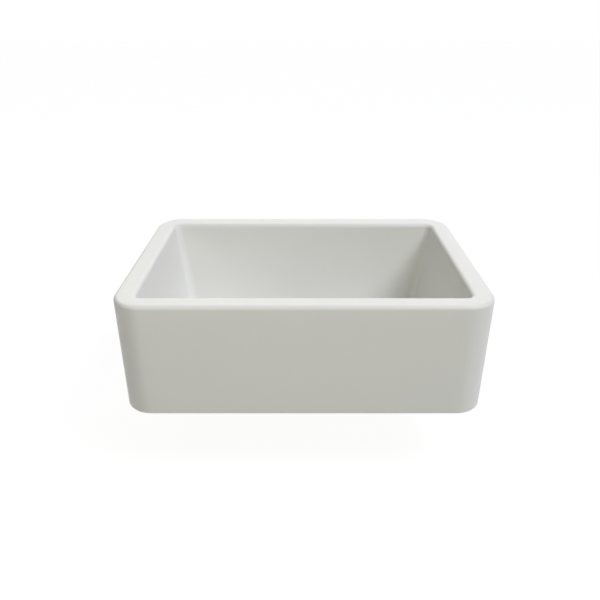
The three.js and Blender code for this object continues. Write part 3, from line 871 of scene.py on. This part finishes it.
tailpiece_washer = turned("nylon_washer", softened([
    (skirt_outer - skirt_wall, washer_low.z),
    (skirt_outer, washer_low.z, 0.5 * MM),
    (skirt_outer, washer_high.z - washer_thickness),
    (washer_high.x, washer_high.z - washer_thickness),
    (washer_high.x, washer_high.z),
    (skirt_outer - skirt_wall, washer_high.z),
], 0.3 * MM))
fit(tailpiece_washer, white_nylon(), "sink", "tailpiece_washer")

chrome = worked_metal(
    "chrome_plate", clean=(0.56, 0.566, 0.57, 1), dull=(0.54, 0.546, 0.552, 1),
    smooth=0.04, rough=0.09, density=900, depth=0.002 * MM)
tailpiece = turned("outlet_tube", softened([
    (tail_radius - tail_wall, tail_low.z),
    (tail_radius, tail_low.z, 0.4 * MM),
    (tail_radius, tail_high.z - tail_flange, 0.8 * MM),
    (tail_high.x, tail_high.z - tail_flange),
    (tail_high.x, tail_high.z),
    (tail_radius - tail_wall, tail_high.z, 0.9 * MM),
], 0.3 * MM))
fit(tailpiece, chrome, "sink", "tailpiece")

brass = worked_metal(
    "machined_brass", clean=(0.62, 0.45, 0.2, 1), dull=(0.52, 0.36, 0.15, 1),
    smooth=0.2, rough=0.38, density=2200, depth=0.02 * MM)
coupling_nut = hexagon_bar("slip_nut", coupling_flats, coupling_low.z, coupling_high.z, 1.6 * MM)
combine(coupling_nut, turned("hollow", [
    (0, coupling_low.z - sheet),
    (tail_radius + seat_gap, coupling_low.z - sheet),
    (tail_radius + seat_gap, coupling_lip),
    (coupling_bore, coupling_lip),
    (coupling_bore, coupling_high.z + sheet),
    (0, coupling_high.z + sheet),
]), "DIFFERENCE")
bevelled(coupling_nut, 0.35 * MM, 2, 25)
fit(coupling_nut, brass, "sink", "coupling_nut")

# ==================================================================================================
# The basket. Drawn from 1 mm stainless sheet, perforated, with its rim rolled to the bead that
# hangs on the strainer's ledge, and polished, because it is the piece that hands lift out.

basket_low, basket_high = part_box("basket_cup")
basket_sheet = 1 * MM
basket_radius = 38.9 * MM
basket_taper = 3.4 * MM
basket_foot = basket_radius - basket_taper
basket_round = 5 * MM
bead_height = 2.4 * MM
hub_hole = 8.3 * MM
basket_steps = 108
punch_radius = 2.3 * MM
holes_round = 18
hole_rows = 3
hole_turn = math.radians(5)
flat_radius = basket_foot - basket_round - 0.2 * MM
# The number of holes and the radius of each ring of them in the floor.
floor_rings = ((18, flat_radius - punch_radius - 0.6 * MM), (12, 15.6 * MM))
bead_under = basket_high.z - bead_height

polished_steel = worked_metal(
    "polished_stainless", clean=(0.6, 0.6, 0.595, 1), dull=(0.53, 0.53, 0.525, 1),
    smooth=0.1, rough=0.24, density=1800, depth=0.006 * MM)
basket_cup = turned("perforated_basket", softened([
    (hub_hole, basket_low.z),
    (flat_radius, basket_low.z),
    (basket_foot, basket_low.z, basket_round),
    (basket_radius, bead_under, 1.2 * MM),
    (basket_high.x, bead_under, 0.9 * MM),
    (basket_high.x, basket_high.z, 1.1 * MM),
    (basket_radius - basket_sheet, basket_high.z, 1.6 * MM),
    (basket_foot - basket_sheet, basket_low.z + basket_sheet, basket_round - basket_sheet),
    (flat_radius, basket_low.z + basket_sheet),
    (hub_hole, basket_low.z + basket_sheet),
], 0.25 * MM, 6), basket_steps)
drill_ring = ring_tree("ring_of_holes", "DIFFERENCE")
wall_foot = basket_low.z + basket_round
row_pitch = (bead_under - wall_foot) / (hole_rows + 0.5)
for row in range(hole_rows):
    half_step = (row % 2) / 2
    worked(basket_cup, drill_ring, polished_steel, Count=holes_round,
           Ring_Radius=basket_radius - basket_taper / 2,
           Height=wall_foot + row_pitch * (row + 0.5),
           Turn=2 * math.pi * half_step / holes_round + hole_turn, Tilt=math.pi / 2,
           Across=punch_radius, Length=12 * MM, Depth=0.0)
for count, radius in floor_rings:
    worked(basket_cup, drill_ring, polished_steel, Count=count, Ring_Radius=radius,
           Height=basket_low.z, Turn=0.0, Tilt=0.0, Across=punch_radius, Length=8 * MM,
           Depth=0.0)
shade(basket_cup)
fit(basket_cup, polished_steel, "basket", "basket_cup")

# ==================================================================================================
# The hub. A brass bush turned with a flange, pushed through the basket's floor and held by an open
# ring of spring steel under it. The rubber ring inside it grips the stem.

hub_low, hub_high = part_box("basket_hub")
clip_low, clip_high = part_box("hub_clip")
hub_bore = 4.3 * MM
hub_radius = 8 * MM
hub_groove = 7 * MM
hub_lip = 1.2 * MM
hub_flange_top = hub_high.z - 8.2 * MM
hub_flange_under = hub_flange_top - 1.5 * MM
ring_section_radius = 0.9 * MM
ring_height = (hub_flange_top + hub_high.z) / 2
ring_groove = hub_bore + 2 * ring_section_radius + seat_gap
ring_groove_half = 1.2 * MM
clip_inner = hub_groove + seat_gap
clip_outer = hub_radius + 2.5 * MM
clip_opening = 50
clip_steps = 60
hub_steps = 64
o_ring_steps = 16

basket_hub = turned("stem_bush", softened([
    (hub_bore, hub_low.z, 0.4 * MM),
    (hub_radius, hub_low.z, 0.5 * MM),
    (hub_radius, hub_low.z + hub_lip),
    (hub_groove, hub_low.z + hub_lip),
    (hub_groove, basket_low.z),
    (hub_radius, basket_low.z),
    (hub_radius, hub_flange_under),
    (hub_high.x, hub_flange_under),
    (hub_high.x, hub_flange_top, 0.5 * MM),
    (hub_radius, hub_flange_top, 0.8 * MM),
    (hub_radius, hub_high.z, 0.9 * MM),
    (hub_bore, hub_high.z, 0.5 * MM),
    (hub_bore, ring_height + ring_groove_half),
    (ring_groove, ring_height + ring_groove_half),
    (ring_groove, ring_height - ring_groove_half),
    (hub_bore, ring_height - ring_groove_half),
], 0.15 * MM), hub_steps)
fit(basket_hub, brass, "basket", "basket_hub")

spring_steel = worked_metal(
    "spring_steel", clean=(0.2, 0.2, 0.215, 1), dull=(0.14, 0.14, 0.15, 1),
    smooth=0.3, rough=0.48, density=1200, depth=0.01 * MM)
clip_section = softened(ring_section(clip_inner, clip_outer, clip_low.z, clip_high.z), 0.25 * MM)
clip_rings = []
axis = Vector((0, drain_y, 0))
for step in range(clip_steps + 1):
    turn = math.radians(clip_opening / 2 + (360 - clip_opening) * step / clip_steps)
    heading = Vector((math.cos(turn), math.sin(turn), 0))
    clip_rings.append([axis + heading * radius + Vector((0, 0, z)) for radius, z in clip_section])
clip_points, clip_faces = loft(clip_rings, looped=False)
clip_side = len(clip_section)
clip_last = len(clip_points) - clip_side
clip_faces = [tuple(reversed(face)) for face in clip_faces]
clip_faces.append(tuple(range(clip_side)))
clip_faces.append(tuple(range(len(clip_points) - 1, clip_last - 1, -1)))
hub_clip = new_piece("clip_ring", clip_points, clip_faces)
fit(hub_clip, spring_steel, "basket", "hub_clip")

o_ring = []
for step in range(o_ring_steps):
    turn = 2 * math.pi * step / o_ring_steps
    across = hub_bore + ring_section_radius * (1 + math.cos(turn))
    o_ring.append((across, ring_height + ring_section_radius * math.sin(turn)))
hub_o_ring = turned("stem_o_ring", o_ring, small_steps, sharp_angle=80)
fit(hub_o_ring, rubber, "basket", "hub_o_ring")

# ==================================================================================================
# The plunger. A turned stem with a knob screwed on its top and, under the basket, a plate, a rubber
# seal, a washer and a nut screwed up against its shoulder. Pushed down, the seal closes the outlet.

stem_low, stem_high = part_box("stem")
knob_low, knob_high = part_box("knob")
plate_low, plate_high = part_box("stopper_plate")
seal_low, seal_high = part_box("stopper_seal")
seal_washer_low, seal_washer_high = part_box("seal_washer")
stem_nut_low, stem_nut_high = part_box("stem_nut")
stem_radius = 4 * MM
stem_screw = 3 * MM
stem_shoulder = plate_high.z + seat_gap
knob_shoulder = knob_low.z - seat_gap
stem_bore = stem_screw + seat_gap
screw_pitch = 1 * MM
screw_depth = 0.45 * MM
screw_zone = (stem_low.z + 0.5 * MM, stem_shoulder - 0.5 * MM)
knob_neck = 6.5 * MM
knob_edge = 1 * MM
knob_foot_edge = 0.5 * MM
knob_dome = 2.5 * MM
knob_steps = 72
dome_steps = 10
sweep_steps = 8
stem_nut_flats = stem_bore + 2.8 * MM

turned_steel = worked_metal(
    "turned_stainless", clean=(0.62, 0.62, 0.615, 1), dull=(0.56, 0.56, 0.555, 1),
    smooth=0.14, rough=0.28, density=3200, depth=0.012 * MM)

stem = turned("plunger_stem", softened([
    (0, stem_low.z),
    (stem_screw, stem_low.z, 0.6 * MM),
    *thread_rows(stem_screw, screw_zone, screw_pitch),
    (stem_screw, stem_shoulder),
    (stem_radius, stem_shoulder, 0.3 * MM),
    (stem_radius, knob_shoulder, 0.3 * MM),
    (stem_screw, knob_shoulder),
    (stem_screw, stem_high.z, 0.5 * MM),
    (0, stem_high.z),
], 0.15 * MM), small_steps)
worked(stem, cut_thread, turned_steel, Radius=stem_screw, Pitch=screw_pitch, Depth=screw_depth,
       From=screw_zone[0], To=screw_zone[1])
shade(stem)
fit(stem, turned_steel, "plunger", "stem")

brim_top = knob_high.z - knob_dome
sweep = knob_high.x - knob_edge - knob_neck
knob_profile = [
    (0, stem_high.z + seat_gap),
    (stem_bore, stem_high.z + seat_gap),
    (stem_bore, knob_low.z),
    (knob_neck - knob_foot_edge, knob_low.z),
    (knob_neck, knob_low.z + knob_foot_edge),
]
for step in range(1, sweep_steps + 1):
    turn = math.pi / 2 * step / sweep_steps
    across = knob_neck + sweep * (1 - math.cos(turn))
    knob_profile.append((across, brim_top - 2 * knob_edge - sweep * (1 - math.sin(turn))))
for step in range(1, sweep_steps + 1):
    turn = math.pi * (step / sweep_steps - 0.5)
    across = knob_high.x - knob_edge * (1 - math.cos(turn))
    knob_profile.append((across, brim_top - knob_edge * (1 - math.sin(turn))))
for step in range(1, dome_steps + 1):
    share = step / dome_steps
    across = (knob_high.x - knob_edge) * (1 - share)
    knob_profile.append((across, brim_top + knob_dome * (1 - (1 - share) ** 2)))
knob = turned("lift_knob", knob_profile, knob_steps)
fit(knob, turned_steel, "plunger", "knob")

stopper_plate = plain_ring("stopper_disc", stem_bore, plate_low, plate_high, 0.6 * MM)
fit(stopper_plate, turned_steel, "plunger", "stopper_plate")

stopper_seal = turned("outlet_seal", softened([
    (stem_bore, seal_low.z),
    (seal_high.x, seal_low.z, 1.2 * MM),
    (seal_high.x, seal_high.z, 1.2 * MM),
    (stem_bore, seal_high.z),
], 0.3 * MM))
fit(stopper_seal, rubber, "plunger", "stopper_seal")

seal_washer = plain_ring(
    "plain_washer", stem_bore, seal_washer_low, seal_washer_high, 0.2 * MM, small_steps)
fit(seal_washer, turned_steel, "plunger", "seal_washer")

stem_nut = hexagon_bar("stopper_nut", stem_nut_flats, stem_nut_low.z, stem_nut_high.z, 0.5 * MM)
nut_hole = rod("bore", stem_bore, stem_nut_low.z - sheet, stem_nut_high.z + sheet)
combine(stem_nut, nut_hole, "DIFFERENCE")
bevelled(stem_nut, 0.15 * MM, 2, 25)
fit(stem_nut, brass, "plunger", "stem_nut")

# ==================================================================================================
# The studio. A pale floor under the tailpiece that shows white, soft lamps above the basin, behind
# it and in front, and a camera that stands where the photograph's did.

floor_gap = 1 * MM
floor_size = 40
floor_grey = (0.8, 0.8, 0.8, 1)
floor_glow = 1.1
floor_glow_share = 0.86
camera_place = (-0.00802, -1.25795, sink_height + 0.50796)
camera_tilt = 26.427

floor_level = cad_box[0][2] - floor_gap
bpy.ops.mesh.primitive_plane_add(size=floor_size, location=(0, 0, floor_level))
studio_floor = bpy.context.object
studio_floor.name = "studio_floor"


def shows_white(tree):
    """1 for the rays that see the backdrop: the camera's, and those that metal and glass throw."""
    seen = add(tree, "ShaderNodeLightPath").outputs
    glossy = maths(tree, "MAXIMUM", seen["Is Camera Ray"], seen["Is Glossy Ray"])
    return maths(tree, "MAXIMUM", glossy, seen["Is Transmission Ray"])


material, tree, shader = new_material("studio_floor")
tree.nodes.remove(shader)
matte = add(tree, "ShaderNodeBsdfDiffuse", {"Color": floor_grey}).outputs[0]
glow = add(tree, "ShaderNodeEmission", {"Strength": floor_glow}).outputs[0]
share = maths(tree, "MULTIPLY", shows_white(tree), floor_glow_share)
mix = add(tree, "ShaderNodeMixShader", {0: share, 1: matte, 2: glow}).outputs[0]
tree.links.new(mix, tree.nodes["Material Output"].inputs["Surface"])
studio_floor.data.materials.append(material)

world = bpy.data.worlds.new("studio")
bpy.context.scene.world = world
world.use_nodes = True
tree = world.node_tree
backdrop = tree.nodes["Background"]
backdrop.inputs["Color"].default_value = (1, 1, 1, 1)
tree.links.new(shows_white(tree), backdrop.inputs["Strength"])


def soft_lamp(name, kind, azimuth, elevation, colour):
    """A lamp aimed at the basin. Azimuth is from the right towards the back, angles in degrees."""
    lamp = bpy.data.lights.new(name, kind)
    lamp.energy = max(colour)
    lamp.color = [part / max(colour) for part in colour]
    holder = bpy.data.objects.new(name, lamp)
    bpy.context.scene.collection.objects.link(holder)
    holder.rotation_euler = (0, math.radians(90 - elevation), math.radians(azimuth))
    return holder


def soft_sun(name, azimuth, elevation, spread, colour):
    soft_lamp(name, "SUN", azimuth, elevation, colour).data.angle = math.radians(spread)


def soft_box(name, azimuth, elevation, spread, colour, distance):
    """A round soft box that gives at the basin the light that a sun of its colour would."""
    holder = soft_lamp(name, "AREA", azimuth, elevation, colour)
    holder.data.shape = "DISK"
    holder.data.size = 2 * distance * math.tan(math.radians(spread / 2))
    holder.data.energy = max(colour) * math.pi * distance ** 2
    turn = math.radians(azimuth)
    rise = math.radians(elevation)
    across = math.cos(rise) * distance
    holder.location = (
        math.cos(turn) * across, math.sin(turn) * across, sink_height + math.sin(rise) * distance)
    holder.visible_camera = False


soft_sun("key_light", -30, 52, 20, (0.78, 0.82, 0.84))
soft_sun("high_key_light", -15, 72, 20, (0.2, 0.18, 0.33))
soft_box("key_box", -30, 55, 20, (0.98, 0.98, 1.0), 3)
soft_sun("back_light", 90, 35, 60, (0.93, 0.93, 0.85))
soft_box("left_box", -135, 45, 30, (0.41, 0.41, 0.3), 1.5)
soft_box("front_box", -90, 12, 50, (0.3, 0.29, 0.17), 1.5)

camera_data = bpy.data.cameras.new("camera")
camera = bpy.data.objects.new("camera", camera_data)
bpy.context.scene.collection.objects.link(camera)
camera_data.lens = 35
camera_data.sensor_width = 36
camera.location = camera_place
camera.rotation_euler = (math.radians(90 - camera_tilt), 0, 0)
bpy.context.scene.camera = camera
bpy.context.scene.view_settings.view_transform = "Standard"
